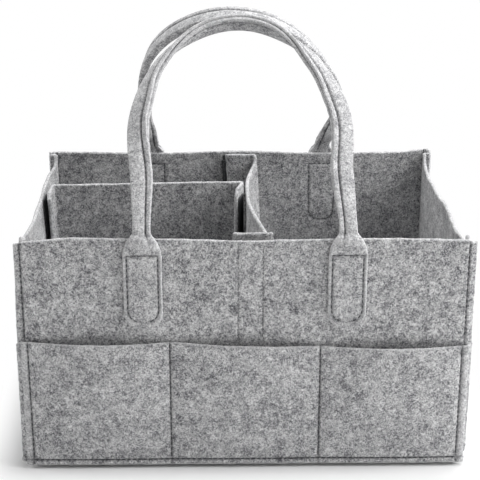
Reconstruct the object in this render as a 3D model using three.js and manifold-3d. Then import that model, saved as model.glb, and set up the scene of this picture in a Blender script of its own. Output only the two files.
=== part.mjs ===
// Felt diaper caddy: an open felt box with outside pockets, two folding handles,
// a lift-out cross divider and a lift-out partition.
// Millimetres, +Z up, front at -Y, origin under the middle of the floor.

import * as THREE from 'three';
import { mergeVertices } from 'three/addons/utils/BufferGeometryUtils.js';
import Module from 'manifold-3d';

// Felt and its seams
const feltThickness = 3;
const layerGap = 0.3; // clearance between layers that are sewn or lie together
const bendRadius = 3; // middle of the felt at a fold
const seamMargin = 1.7; // how far the corner seams stand out past the end pockets

// Box
const innerLength = 322;
const innerDepth = 226;
const wallHeight = 183;
const hemHeight = 12; // top of the base panel's upturned edge
const scoopDepth = 16; // dip in the top edge of the end panels
const scoopPower = 3; // 2 is an ellipse, higher is squarer

// Outside pockets
const frontPocketHeight = 100;
const endPocketHeight = 97;
const middlePocketWidth = 111.6; // between the two rows of stitches on the front
const pocketMargin = 4; // front pocket's side edges, past the insides of the end panels
const pocketSwell = 6; // how far the mouth stands off in the middle of each pocket

// Handles
const tabSpacing = 149; // between the middles of a handle's two tabs
const tabWidth = 28;
const tabDrop = 67.5; // tab's lower end, below the rim
const tabCornerRadius = 9;
const shoulderHeight = 8; // where the tab narrows to the neck
const neckWidth = 21;
const neckFlare = 9; // length over which the neck narrows to the band
const bandWidth = 16.5; // folded strip, across the arch
const bandThickness = 6.5;
const legLength = 62; // lower part of the loop, below its arch
const frontArchRise = 116.5; // middle of the band, above the legs
const rearArchRise = 112.5;
const frontLegSpread = 0; // how far each leg leans out by its top
const rearLegSpread = 6;
const neckRise = 3; // neck's fold line above the rim
const neckOutset = 5; // neck's fold line outside the panel
const crownGap = 0.6; // between the two handles where they meet

// Cross divider
const dividerFrontX = 17.3;
const dividerRearX = 12.5;
const dividerBowFrontX = 23.6; // the two pulls that bow the divider
const dividerBowRearX = -14.2;
const dividerFlap = 26.8;
const dividerScoop = 16;

// Partition
const partitionY = 53;
const partitionHeight = 173;
const partitionFlap = 26;
const partitionFlapCorner = 5; // cut off the flaps' upper corners
const flapSplay = THREE.MathUtils.degToRad(14); // right flap's turn away from the divider

// Hook-and-loop closures
const tapeThickness = 1.35;
const stripWidth = 20;
const stripTopInset = 6; // below the rim
const patchWidth = 16;
const patchLength = 120;
const patchLift = 30; // above the floor
const tapeInset = 2; // from a flap's free edge

// Places that follow from the sizes
const halfLength = innerLength / 2;
const halfDepth = innerDepth / 2;
const halfFelt = feltThickness / 2;
const layerPitch = feltThickness + layerGap;
const seamEdge = halfLength + feltThickness + layerPitch + seamMargin;
const bendReach = bendRadius + halfFelt; // a folded sheet is straight again this far from the fold
const floorTop = feltThickness;
const standingOnFloor = floorTop + layerGap;
const flapInset = Math.max(feltThickness + 2 * layerGap, 2 * tapeThickness + 3 * layerGap);

// Materials
const heatherFelt = new THREE.MeshStandardMaterial({ color: 0x9d9d9f, roughness: 0.95, metalness: 0 });
const handleFelt = new THREE.MeshStandardMaterial({ color: 0xb4b4b6, roughness: 0.95, metalness: 0 });
const hookTape = new THREE.MeshStandardMaterial({ color: 0x6e6e72, roughness: 0.8, metalness: 0 });

const caddy = new THREE.Group();

function addPiece(name, geometry, material, parent = caddy) {
  const piece = new THREE.Mesh(geometry, material);
  piece.name = name;
  parent.add(piece);
  return piece;
}

// Closed triangle mesh, turned so that its faces point out
function closedGeometry(vertices, triangles) {
  let sixVolumes = 0;
  for (const [a, b, c] of triangles) {
    sixVolumes += vertices[a].dot(vertices[b].clone().cross(vertices[c]));
  }
  const outward = sixVolumes > 0 ? triangles : triangles.map(([a, b, c]) => [a, c, b]);
  const geometry = new THREE.BufferGeometry();
  geometry.setFromPoints(vertices);
  geometry.setIndex(outward.flat());
  geometry.computeVertexNormals();
  return geometry;
}

// Plan path through corner points, with each inner corner rounded, within its two stretches
function roundedPath(corners) {
  const path = new THREE.Path();
  path.moveTo(corners[0].x, corners[0].y);
  for (let index = 1; index < corners.length - 1; index += 1) {
    const corner = corners[index];
    const previous = corners[index - 1];
    const next = corners[index + 1];
    const radius = Math.min(bendRadius, corner.distanceTo(previous), corner.distanceTo(next));
    const before = previous.clone().sub(corner).setLength(radius).add(corner);
    const after = next.clone().sub(corner).setLength(radius).add(corner);
    path.lineTo(before.x, before.y);
    path.quadraticCurveTo(corner.x, corner.y, after.x, after.y);
  }
  const last = corners[corners.length - 1];
  path.lineTo(last.x, last.y);
  return path.getPoints(4);
}

// Sideways step from each plan point to the felt's face, mitred at bends
function faceSteps(points) {
  const sides = [];
  for (let index = 1; index < points.length; index += 1) {
    const along = points[index].clone().sub(points[index - 1]).normalize();
    sides.push(new THREE.Vector2(along.y, -along.x));
  }
  return points.map((point, index) => {
    const before = sides[Math.max(index - 1, 0)];
    const after = sides[Math.min(index, sides.length - 1)];
    const middle = before.clone().add(after).normalize();
    return middle.divideScalar(middle.dot(after));
  });
}

// Felt sheet standing on edge along a plan path. The right-hand side of the path is its outer face,
// and swell(point, height from 0 to 1) pushes the sheet that way.
function standingSheet({ points, bottom, top, rows = 1, swell = () => 0 }) {
  const steps = faceSteps(points);
  const vertices = [];
  points.forEach((point, column) => {
    const low = bottom(point, column);
    const high = top(point, column);
    for (let row = 0; row <= rows; row += 1) {
      const share = row / rows;
      for (const side of [halfFelt, -halfFelt]) {
        const place = point.clone().addScaledVector(steps[column], side + swell(point, share));
        vertices.push(new THREE.Vector3(place.x, place.y, THREE.MathUtils.lerp(low, high, share)));
      }
    }
  });
  const at = (column, row, side) => 2 * (column * (rows + 1) + row) + side;
  const triangles = [];
  const addQuad = (a, b, c, d) => triangles.push([a, b, c], [a, c, d]);
  const lastColumn = points.length - 1;
  for (let column = 0; column < lastColumn; column += 1) {
    const next = column + 1;
    for (let row = 0; row < rows; row += 1) {
      addQuad(at(column, row, 0), at(next, row, 0), at(next, row + 1, 0), at(column, row + 1, 0));
      addQuad(at(column, row, 1), at(column, row + 1, 1), at(next, row + 1, 1), at(next, row, 1));
    }
    addQuad(at(column, 0, 0), at(column, 0, 1), at(next, 0, 1), at(next, 0, 0));
    addQuad(at(column, rows, 0), at(next, rows, 0), at(next, rows, 1), at(column, rows, 1));
  }
  for (let row = 0; row < rows; row += 1) {
    addQuad(at(0, row, 0), at(0, row + 1, 0), at(0, row + 1, 1), at(0, row, 1));
    addQuad(
      at(lastColumn, row, 0), at(lastColumn, row, 1),
      at(lastColumn, row + 1, 1), at(lastColumn, row + 1, 0),
    );
  }
  return closedGeometry(vertices, triangles);
}

const plan = (x, y) => new THREE.Vector2(x, y);
const level = (height) => () => height;

// Dip of a scooped top edge at distance y from its middle
function scoopDip(y, halfWidth, depth) {
  const share = Math.min(Math.abs(y) / halfWidth, 1);
  return depth * (1 - share ** scoopPower) ** (1 / scoopPower);
}

// Places along a scooped edge, closer together where it is steep
function scoopPlaces(halfWidth, steps) {
  const places = [];
  for (let step = 0; step <= steps; step += 1) {
    const turn = Math.cos(Math.PI * (1 - step / steps));
    places.push(halfWidth * Math.sign(turn) * Math.abs(turn) ** (2 / scoopPower));
  }
  return places;
}

// Base panel: a felt floor with its edge turned up all round, inside the walls
const wasm = await Module();
wasm.setup();

function toSolid(geometry) {
  const bare = geometry.clone();
  bare.deleteAttribute('normal');
  bare.deleteAttribute('uv');
  const merged = mergeVertices(bare);
  const vertProperties = new Float32Array(merged.attributes.position.array);
  const triVerts = new Uint32Array(merged.index.array);
  return new wasm.Manifold(new wasm.Mesh({ numProp: 3, vertProperties, triVerts }));
}

function toGeometry(solid) {
  const { vertProperties, triVerts } = solid.getMesh();
  const geometry = new THREE.BufferGeometry();
  geometry.setAttribute('position', new THREE.BufferAttribute(new Float32Array(vertProperties), 3));
  geometry.setIndex(Array.from(triVerts));
  geometry.computeVertexNormals();
  return geometry;
}

const baseLength = innerLength - 2 * layerGap;
const baseDepth = innerDepth - 2 * layerGap;
const baseBlock = new THREE.BoxGeometry(baseLength, baseDepth, hemHeight);
baseBlock.translate(0, 0, hemHeight / 2);
const baseHollow = new THREE.BoxGeometry(
  baseLength - 2 * feltThickness, baseDepth - 2 * feltThickness, hemHeight,
);
baseHollow.translate(0, 0, hemHeight / 2 + floorTop);
addPiece('base_panel', toGeometry(toSolid(baseBlock).subtract(toSolid(baseHollow))), heatherFelt);

// Front and back panels: flat sheets, whose side edges stand out past the corners as seam margins
const panelY = halfDepth + halfFelt;

for (const [name, turn] of [['front_panel', 0], ['back_panel', Math.PI]]) {
  const points = [plan(-seamEdge, -panelY), plan(seamEdge, -panelY)];
  const panel = standingSheet({ points, bottom: level(0), top: level(wallHeight) });
  addPiece(name, panel, heatherFelt).rotation.z = turn;
}

// Plan path of an end sheet, whose side edges turn outward and lie against the front and back margins
function endSheetPath(x, marginY, places) {
  const bend = roundedPath([plan(seamEdge, -marginY), plan(x, -marginY), plan(x, places[0])]);
  const otherBend = bend.map((point) => plan(point.x, -point.y)).reverse();
  const straight = places.slice(1, -1).map((y) => plan(x, y));
  return [...bend, ...straight, ...otherBend];
}

// End panels, with a scooped top edge between the folds
const endPanelX = halfLength + halfFelt;
const endMarginY = halfDepth - layerGap - halfFelt;
const scoopHalf = endMarginY - bendReach;

for (const [name, turn] of [['right_end_panel', 0], ['left_end_panel', Math.PI]]) {
  const panel = standingSheet({
    points: endSheetPath(endPanelX, endMarginY, scoopPlaces(scoopHalf, 20)),
    bottom: level(0),
    top: (point) => wallHeight - scoopDip(point.y, scoopHalf, scoopDepth),
  });
  addPiece(name, panel, heatherFelt).rotation.z = turn;
}

// Outside pockets: one sheet a side, sewn flat to the wall along the seams between the pockets
const pocketRows = 5;
const pocketSteps = 8;

// Places along a row of pockets, with steps between its seams
function pocketPlaces(seams) {
  const places = [];
  for (let pocket = 1; pocket < seams.length; pocket += 1) {
    for (let step = 0; step < pocketSteps; step += 1) {
      places.push(THREE.MathUtils.lerp(seams[pocket - 1], seams[pocket], step / pocketSteps));
    }
  }
  return [...places, seams[seams.length - 1]];
}

// Swell of a row of pockets at a distance along the wall, at a share of the pockets' height
function pocketSwellAt(distance, seams, share) {
  const pocket = seams.findIndex((seam) => seam > distance);
  if (pocket < 1) {
    return 0;
  }
  const across = (distance - seams[pocket - 1]) / (seams[pocket] - seams[pocket - 1]);
  return pocketSwell * Math.sin(Math.PI * across) * Math.sin(share * Math.PI / 2);
}

const pocketY = panelY + layerPitch;
const frontPocketEdge = halfLength + pocketMargin;
const frontSeams = [-halfLength, -middlePocketWidth / 2, middlePocketWidth / 2, halfLength];

for (const [name, turn] of [['front_pocket_panel', 0], ['back_pocket_panel', Math.PI]]) {
  const places = [-frontPocketEdge, ...pocketPlaces(frontSeams), frontPocketEdge];
  const panel = standingSheet({
    points: places.map((x) => plan(x, -pocketY)),
    bottom: level(0),
    top: level(frontPocketHeight),
    rows: pocketRows,
    swell: (point, share) => pocketSwellAt(point.x, frontSeams, share),
  });
  addPiece(name, panel, heatherFelt).rotation.z = turn;
}

const endPocketX = endPanelX + layerPitch;
const endPocketMarginY = endMarginY - layerPitch;
const endPocketHalf = endPocketMarginY - bendReach;
const endSeams = [-endPocketHalf, 0, endPocketHalf];

for (const [name, turn] of [['right_pocket_panel', 0], ['left_pocket_panel', Math.PI]]) {
  const panel = standingSheet({
    points: endSheetPath(endPocketX, endPocketMarginY, pocketPlaces(endSeams)),
    bottom: level(0),
    top: level(endPocketHeight),
    rows: pocketRows,
    swell: (point, share) => pocketSwellAt(point.y, endSeams, share),
  });
  addPiece(name, panel, heatherFelt).rotation.z = turn;
}

// Handles: flat tabs sewn to the panel, and a loop of the folded strip that turns at the neck
const neckY = halfDepth + feltThickness + neckOutset;
const neckZ = wallHeight + neckRise;
const halfBand = bandThickness / 2;
const tabX = tabSpacing / 2;
const tabTop = neckZ - halfBand - layerGap;
const tabBottom = wallHeight - tabDrop;

function tabGeometry() {
  const half = tabWidth / 2;
  const shoulder = tabTop - shoulderHeight;
  const corner = tabBottom + tabCornerRadius;
  const outline = new THREE.Shape();
  outline.moveTo(neckWidth / 2, tabTop);
  outline.lineTo(-neckWidth / 2, tabTop);
  outline.quadraticCurveTo(-half, shoulder + shoulderHeight / 2, -half, shoulder);
  outline.lineTo(-half, corner);
  outline.absarc(-half + tabCornerRadius, corner, tabCornerRadius, Math.PI, 1.5 * Math.PI, false);
  outline.absarc(half - tabCornerRadius, corner, tabCornerRadius, 1.5 * Math.PI, 2 * Math.PI, false);
  outline.lineTo(half, shoulder);
  outline.quadraticCurveTo(half, shoulder + shoulderHeight / 2, neckWidth / 2, tabTop);
  const options = { depth: feltThickness, bevelEnabled: false, curveSegments: 6 };
  return new THREE.ExtrudeGeometry(outline, options).rotateX(Math.PI / 2);
}

// Section of the folded strip: round at the fold, which is on the outside of the arch
function bandSection() {
  const foldMiddle = bandWidth / 2 - halfBand;
  const section = [plan(-bandWidth / 2, halfBand), plan(-bandWidth / 2, -halfBand)];
  for (let step = 0; step <= 4; step += 1) {
    const turn = Math.PI * (step / 4 - 0.5);
    section.push(plan(foldMiddle + halfBand * Math.cos(turn), halfBand * Math.sin(turn)));
  }
  return section;
}

// Rings along the loop, in its own plane: place, direction out of the arch,
// and how much the section is widened and flattened at the neck
function loopRings(archRise, legSpread) {
  const rings = [];
  const widen = neckWidth / bandWidth;
  const legX = (height) => -tabX - legSpread * THREE.MathUtils.smoothstep(height, 0, legLength);
  for (const degrees of [75, 50, 25, 0]) {
    const turn = THREE.MathUtils.degToRad(degrees);
    const place = plan(-tabX, -halfBand * Math.sin(turn));
    rings.push({ place, out: plan(-1, 0), widen, flatten: Math.cos(turn) });
  }
  for (const height of [neckFlare, (neckFlare + legLength) / 2]) {
    rings.push({ place: plan(legX(height), height), out: plan(-1, 0), widen: 1, flatten: 1 });
  }
  const legRings = rings.slice();
  const archHalf = tabX + legSpread;
  const archSteps = 20;
  for (let step = 0; step <= archSteps; step += 1) {
    const turn = Math.PI * (1 - step / archSteps);
    const place = plan(archHalf * Math.cos(turn), legLength + archRise * Math.sin(turn));
    const out = plan(Math.cos(turn) / archHalf, Math.sin(turn) / archRise).normalize();
    rings.push({ place, out, widen: 1, flatten: 1 });
  }
  for (const ring of legRings.reverse()) {
    rings.push({ ...ring, place: plan(-ring.place.x, ring.place.y), out: plan(1, 0) });
  }
  return rings;
}

function loopGeometry(archRise, legSpread) {
  const section = bandSection();
  const rings = loopRings(archRise, legSpread);
  const vertices = [];
  for (const { place, out, widen, flatten } of rings) {
    for (const corner of section) {
      const spot = place.clone().addScaledVector(out, corner.x * widen);
      vertices.push(new THREE.Vector3(spot.x, spot.y, corner.y * flatten));
    }
  }
  const count = section.length;
  const triangles = [];
  for (let ring = 0; ring < rings.length - 1; ring += 1) {
    for (let corner = 0; corner < count; corner += 1) {
      const next = (corner + 1) % count;
      const a = ring * count + corner;
      const b = ring * count + next;
      triangles.push([a, b, b + count], [a, b + count, a + count]);
    }
  }
  const lastRing = (rings.length - 1) * count;
  for (let corner = 1; corner < count - 1; corner += 1) {
    triangles.push([0, corner + 1, corner]);
    triangles.push([lastRing, lastRing + corner, lastRing + corner + 1]);
  }
  return closedGeometry(vertices, triangles);
}

// A handle's lean from upright, at which its crown reaches the middle of the box
function handleLean(archRise) {
  const crownReach = legLength + archRise + bandWidth / 2;
  const crownTravel = neckY - crownGap / 2;
  return Math.asin(crownTravel / Math.hypot(crownReach, halfBand)) - Math.atan2(halfBand, crownReach);
}

const handles = [
  { side: 'front', turn: 0, leftSign: -1, archRise: frontArchRise, legSpread: frontLegSpread },
  { side: 'rear', turn: Math.PI, leftSign: 1, archRise: rearArchRise, legSpread: rearLegSpread },
];

for (const { side, turn, leftSign, archRise, legSpread } of handles) {
  const handle = new THREE.Group();
  handle.rotation.z = turn;
  caddy.add(handle);
  const tabY = halfDepth + feltThickness + layerGap;
  for (const [hand, sign] of [['left', leftSign], ['right', -leftSign]]) {
    const tab = addPiece(`${side}_handle_${hand}_tab`, tabGeometry(), handleFelt, handle);
    tab.position.set(sign * tabX, -tabY, 0);
  }
  const loop = addPiece(`${side}_handle_loop`, loopGeometry(archRise, legSpread), handleFelt, handle);
  loop.position.set(0, -neckY, neckZ);
  loop.rotation.x = Math.PI / 2 - handleLean(archRise);
}

// Cross divider: a bowed sheet from front to back, with a flap folded to the left at each end
const flapY = halfDepth - flapInset - halfFelt;
const bowEndY = flapY - bendRadius;
const dividerBow = new THREE.CubicBezierCurve(
  plan(dividerFrontX, -bowEndY),
  plan(dividerBowFrontX, -bowEndY / 3),
  plan(dividerBowRearX, bowEndY / 3),
  plan(dividerRearX, bowEndY),
);
const frontFlapTip = dividerFrontX + halfFelt - dividerFlap;
const rearFlapTip = dividerRearX + halfFelt - dividerFlap;

const frontFlap = roundedPath([
  plan(frontFlapTip, -flapY),
  plan(dividerFrontX, -flapY),
  plan(dividerFrontX, -bowEndY),
]);
const rearFlap = roundedPath([
  plan(dividerRearX, bowEndY),
  plan(dividerRearX, flapY),
  plan(rearFlapTip, flapY),
]);
const bowPoints = scoopPlaces(bowEndY, 20).map((y) => dividerBow.getPoint((y / bowEndY + 1) / 2));
const dividerSheet = standingSheet({
  points: [...frontFlap.slice(0, -2), ...bowPoints, ...rearFlap.slice(2)],
  bottom: level(standingOnFloor),
  top: (point) => wallHeight - scoopDip(point.y, bowEndY, dividerScoop),
});
addPiece('cross_divider', dividerSheet, heatherFelt);

// Partition: a straight sheet across the left half, with both end flaps folded forward
const leftFlapX = -(halfLength - flapInset - halfFelt);
const dividerAtPartition = dividerBow.getPoint((partitionY / bowEndY + 1) / 2).x;
const rightFlapX = dividerAtPartition - feltThickness - 2 * layerGap;
const splayWay = plan(-Math.sin(flapSplay), -Math.cos(flapSplay));
const rightFlapTip = plan(rightFlapX, partitionY).addScaledVector(splayWay, partitionFlap);
const partitionPath = roundedPath([
  plan(leftFlapX, partitionY - partitionFlap),
  plan(leftFlapX, partitionY),
  plan(rightFlapX, partitionY),
  rightFlapTip,
]);

// Splits the first and last stretches, so that the flaps' upper corners can be cut off
const cornerShare = partitionFlapCorner / partitionFlap;
const firstCut = partitionPath[0].clone().lerp(partitionPath[1], cornerShare);
const [beforeLast, lastPoint] = partitionPath.slice(-2);
const lastCut = lastPoint.clone().lerp(beforeLast, cornerShare);
const partitionPoints = [partitionPath[0], firstCut, ...partitionPath.slice(1, -1), lastCut, lastPoint];
const partitionSheet = standingSheet({
  points: partitionPoints,
  bottom: level(standingOnFloor),
  top: (point, column) => {
    const atTip = column === 0 || column === partitionPoints.length - 1;
    return atTip ? partitionHeight - partitionFlapCorner : partitionHeight;
  },
});
addPiece('partition', partitionSheet, heatherFelt);

// Hook strips sewn inside the front and back panels, and the mating strips on the divider's flaps
const stripBottom = hemHeight + layerGap;
const stripLength = wallHeight - stripTopInset - stripBottom;
const stripHeight = stripBottom + stripLength / 2;
const stripY = halfDepth - layerGap - tapeThickness / 2;
const flapTapeY = flapY + halfFelt + layerGap + tapeThickness / 2;

for (const [side, sign, flapTip] of [['front', -1, frontFlapTip], ['back', 1, rearFlapTip]]) {
  const stripX = flapTip + tapeInset + stripWidth / 2;
  const tape = new THREE.BoxGeometry(stripWidth, tapeThickness, stripLength);
  const panelTape = addPiece(`${side}_hook_strip`, tape, hookTape);
  panelTape.position.set(stripX, sign * stripY, stripHeight);
  const dividerTape = addPiece(`divider_${side}_loop_strip`, tape, hookTape);
  dividerTape.position.set(stripX, sign * flapTapeY, stripHeight);
}

// Hook patches on the outsides of the partition's flaps
const patchHeight = standingOnFloor + patchLift + patchLength / 2;
const patchStandOff = halfFelt + layerGap + tapeThickness / 2;
const patchMiddle = partitionFlap - tapeInset - patchWidth / 2;
const patch = new THREE.BoxGeometry(tapeThickness, patchWidth, patchLength);

const leftPatch = addPiece('partition_left_hook_patch', patch, hookTape);
leftPatch.position.set(leftFlapX - patchStandOff, partitionY - patchMiddle, patchHeight);

const rightPatch = addPiece('partition_right_hook_patch', patch, hookTape);
const splayOut = plan(Math.cos(flapSplay), -Math.sin(flapSplay));
const rightPatchSpot = plan(rightFlapX, partitionY)
  .addScaledVector(splayWay, patchMiddle)
  .addScaledVector(splayOut, patchStandOff);
rightPatch.position.set(rightPatchSpot.x, rightPatchSpot.y, patchHeight);
rightPatch.rotation.z = -flapSplay;

export default caddy;
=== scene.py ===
import math
import bmesh
import bpy
import numpy as np
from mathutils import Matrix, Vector


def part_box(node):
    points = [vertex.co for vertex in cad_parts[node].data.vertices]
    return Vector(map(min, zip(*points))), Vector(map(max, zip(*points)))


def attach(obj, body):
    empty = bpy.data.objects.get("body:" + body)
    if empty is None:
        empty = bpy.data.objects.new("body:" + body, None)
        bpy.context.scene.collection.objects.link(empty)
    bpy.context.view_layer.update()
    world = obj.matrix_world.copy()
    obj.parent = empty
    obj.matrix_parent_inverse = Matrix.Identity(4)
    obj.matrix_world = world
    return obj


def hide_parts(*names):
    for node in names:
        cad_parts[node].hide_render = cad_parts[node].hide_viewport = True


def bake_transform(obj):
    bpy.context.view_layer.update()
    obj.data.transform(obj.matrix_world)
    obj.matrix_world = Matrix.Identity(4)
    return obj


# Felt diaper caddy: sewn felt panels and pockets, two folded-strip handles, a lift-out divider and partition.
# Metres, +Z up, front at -Y. Settings are in millimetres, and mm turns them into metres.
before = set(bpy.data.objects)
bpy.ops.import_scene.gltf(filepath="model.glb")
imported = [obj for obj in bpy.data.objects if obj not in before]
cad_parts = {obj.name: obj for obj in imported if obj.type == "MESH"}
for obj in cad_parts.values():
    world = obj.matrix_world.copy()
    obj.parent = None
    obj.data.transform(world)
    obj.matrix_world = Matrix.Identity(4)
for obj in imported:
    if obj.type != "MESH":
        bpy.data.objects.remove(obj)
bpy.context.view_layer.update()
mm = 0.001
chance = np.random.default_rng(23)


# Camera at the photograph's height and distance
view = {
    "lens": 97.49,
    "sensor": 36,
    "aim": (-2.0, 0, 141.2),
    "distance": 1059.3,
    "elevation": 19.79,
    "azimuth": -0.85,
}


def makeCamera():
    data = bpy.data.cameras.new("camera")
    data.lens = view["lens"]
    data.sensor_width = view["sensor"]
    turn = math.radians(view["azimuth"])
    rise = math.radians(view["elevation"])
    back = Vector((
        math.sin(turn) * math.cos(rise),
        -math.cos(turn) * math.cos(rise),
        math.sin(rise),
    ))
    camera = bpy.data.objects.new("camera", data)
    camera.location = Vector(view["aim"]) * mm + back * view["distance"] * mm
    camera.rotation_mode = "QUATERNION"
    camera.rotation_quaternion = (-back).to_track_quat("-Z", "Y")
    bpy.context.scene.collection.objects.link(camera)
    bpy.context.scene.camera = camera
    bpy.context.scene.view_settings.view_transform = "Standard"


makeCamera()
print("camera placed")


# Sizes that every piece shares, in metres, most of them read from the frame
panelLow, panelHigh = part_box("front_panel")
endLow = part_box("right_end_panel")[0]
caddy = {
    "innerX": endLow.x,
    "innerY": -panelHigh.y,
    "seamX": panelHigh.x,
    "rimZ": panelHigh.z,
    "felt": panelHigh.y - panelLow.y,
    "gap": endLow.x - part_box("base_panel")[1].x,
    "pocketZ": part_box("front_pocket_panel")[1].z,
    "bend": 3 * mm,
    "standZ": 2.4 * mm,        # lower edges of the walls, just off the floor
    "hemZ": 6.7 * mm,          # stitches round the bottom
    "hemFlare": 20.0,          # degrees that the walls turn out below those stitches
    "hemBend": 1.2 * mm,       # half the height of that turn
    "grooveX": 162.9 * mm,     # corner stitches
    "marginTilt": 26.0,        # degrees that the margins turn back past the corner stitches
    "marginBend": 1.4 * mm,    # half the width of that turn
}
felt = caddy["felt"]
rimZ = caddy["rimZ"]
hemZ = caddy["hemZ"]
grooveX = caddy["grooveX"]
layer = felt + caddy["gap"]
panelY = caddy["innerY"] + felt / 2
endX = caddy["innerX"] + felt / 2
edgeInset = 0.6 * mm      # the rounded cut edges stand this far past a sheet's grid
wallFoot = caddy["standZ"] + edgeInset
stitchDepth = 1.0 * mm    # how far a row of stitches pulls each face of the felt in
stitchReach = 0.95 * mm   # how far beside the row that shows
threadSink = 0.75 * mm    # how far the threads lie below the felt's face
tapeSink = 0.2 * mm       # and round the tapes, where they are drawn less tight
marginTilt = math.radians(caddy["marginTilt"])
# In plan, at the right front corner: along the margin, and from one layer of that seam to the next
marginWay = np.array([math.cos(marginTilt), math.sin(marginTilt)])
marginBack = np.array([-math.sin(marginTilt), math.cos(marginTilt)])


# Colours and nodes
def hexColor(code):
    parts = [int(code[k:k + 2], 16) / 255 for k in (1, 3, 5)]
    return tuple(c / 12.92 if c <= 0.04045 else ((c + 0.055) / 1.055) ** 2.4 for c in parts) + (1,)


def addNode(tree, kind, settings=None, links=None):
    node = tree.nodes.new(kind)
    for key, value in (settings or {}).items():
        if isinstance(key, str) and hasattr(node, key):
            setattr(node, key, value)
        else:
            node.inputs[key].default_value = value
    for socket, source in (links or {}).items():
        tree.links.new(source, node.inputs[socket])
    return node


def setStops(ramp, stops):
    elements = ramp.color_ramp.elements
    while len(elements) < len(stops):
        elements.new(1)
    for element, (place, code) in zip(elements, stops):
        element.position = place
        element.color = hexColor(code)


def newMaterial(name):
    material = bpy.data.materials.new(name)
    material.use_nodes = True
    material.node_tree.nodes.clear()
    return material, material.node_tree


# Needle-punched polyester felt: grey fibres of several shades, matted without a weave. The eye sees a dull
# heathered grey, peppered and squiggled with dark and pale fibres a millimetre or two wide, in cloudy
# patches. Cut edges are paler. Shade is painted dark into the grooves that stitches pull in, partly for
# the pressed felt and partly for the shade that falls there, and highlights are painted pale on some faces
# beside the cut edges.
feltLook = {
    "octaves": [            # size in mm, weight (they add up to 1), how much the pattern is curled
        (0.9, 0.34, 0.0),
        (1.8, 0.24, 0.9),
        (3.6, 0.18, 1.3),
        (7.2, 0.14, 0.9),
        (15.0, 0.10, 0.5),
    ],
    "seedSpread": 40.0,     # keeps the pattern of one piece apart from the next one's
    "fuzzSize": 0.8,
    "fuzzShare": 0.4,
    "bumpHeight": 1.0,
    "panelStops": [
        (0.38, "#58585b"), (0.43, "#767679"), (0.47, "#949496"),
        (0.50, "#a8a8a9"), (0.54, "#bebebf"), (0.60, "#dcdcdc"),
    ],
    # painted light: the handles are the same felt as the panels, given paler dark stops so that they stand in
    # for the stronger light falling on the handles
    "handleStopsPaintedLight": [
        (0.38, "#646467"), (0.43, "#808083"), (0.47, "#9b9b9d"),
        (0.50, "#aeaeaf"), (0.54, "#c2c2c3"), (0.60, "#dcdcdc"),
    ],
    "edgeColour": "#d6d6d7",
    "edgeShare": 0.38,
    # painted shade: this dark colour is painted into the stitch grooves for the shade that falls there, and a
    # little for the pressed felt
    "grooveAndShadeColour": "#3c3d40",
    "grooveAndShadeShare": 0.62,
}


def needledFelt(name, stops, seedShift):
    look = feltLook
    material, tree = newMaterial(name)
    place = addNode(tree, "ShaderNodeTexCoord").outputs["Object"]
    info = addNode(tree, "ShaderNodeObjectInfo")
    settings = {"operation": "MULTIPLY_ADD", 1: look["seedSpread"], 2: seedShift}
    seed = addNode(tree, "ShaderNodeMath", settings, {0: info.outputs["Random"]}).outputs[0]
    spot = {"Vector": place, "W": seed}
    tone = None
    for size, weight, curl in look["octaves"]:
        settings = {"noise_dimensions": "4D", "Scale": 1 / (size * mm), "Detail": 1.0, "Distortion": curl}
        pattern = addNode(tree, "ShaderNodeTexNoise", settings, spot).outputs[0]
        settings = {"operation": "MULTIPLY_ADD", 1: weight, 2: 0.0}
        links = {0: pattern} if tone is None else {0: pattern, 2: tone}
        tone = addNode(tree, "ShaderNodeMath", settings, links).outputs[0]
    ramp = addNode(tree, "ShaderNodeValToRGB", {}, {"Fac": tone})
    setStops(ramp, stops)
    colour = ramp.outputs["Color"]
    # The first mark paints the paler cut-edge colour, also used as a painted highlight on some faces; the
    # second paints shade dark into the stitch grooves
    for mark in ("edge", "grooveAndShade"):
        reach = addNode(tree, "ShaderNodeAttribute", {"attribute_name": mark}).outputs["Fac"]
        settings = {"operation": "MULTIPLY", 1: look[mark + "Share"]}
        share = addNode(tree, "ShaderNodeMath", settings, {0: reach}).outputs[0]
        settings = {"data_type": "RGBA", 7: hexColor(look[mark + "Colour"])}
        colour = addNode(tree, "ShaderNodeMix", settings, {0: share, 6: colour}).outputs[2]
    settings = {"noise_dimensions": "4D", "Scale": 1 / (look["fuzzSize"] * mm), "Detail": 2.0}
    fuzz = addNode(tree, "ShaderNodeTexNoise", settings, spot).outputs[0]
    settings = {"operation": "MULTIPLY_ADD", 1: look["fuzzShare"]}
    height = addNode(tree, "ShaderNodeMath", settings, {0: fuzz, 2: tone}).outputs[0]
    settings = {"Strength": 0.5, "Distance": look["bumpHeight"] * mm}
    bump = addNode(tree, "ShaderNodeBump", settings, {"Height": height}).outputs[0]
    settings = {"Roughness": 0.95, "Specular IOR Level": 0.15, "Sheen Weight": 0.2, "Sheen Roughness": 0.5}
    shader = addNode(tree, "ShaderNodeBsdfPrincipled", settings, {"Base Color": colour, "Normal": bump})
    addNode(tree, "ShaderNodeOutputMaterial", {}, {"Surface": shader.outputs[0]})
    return material


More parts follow.
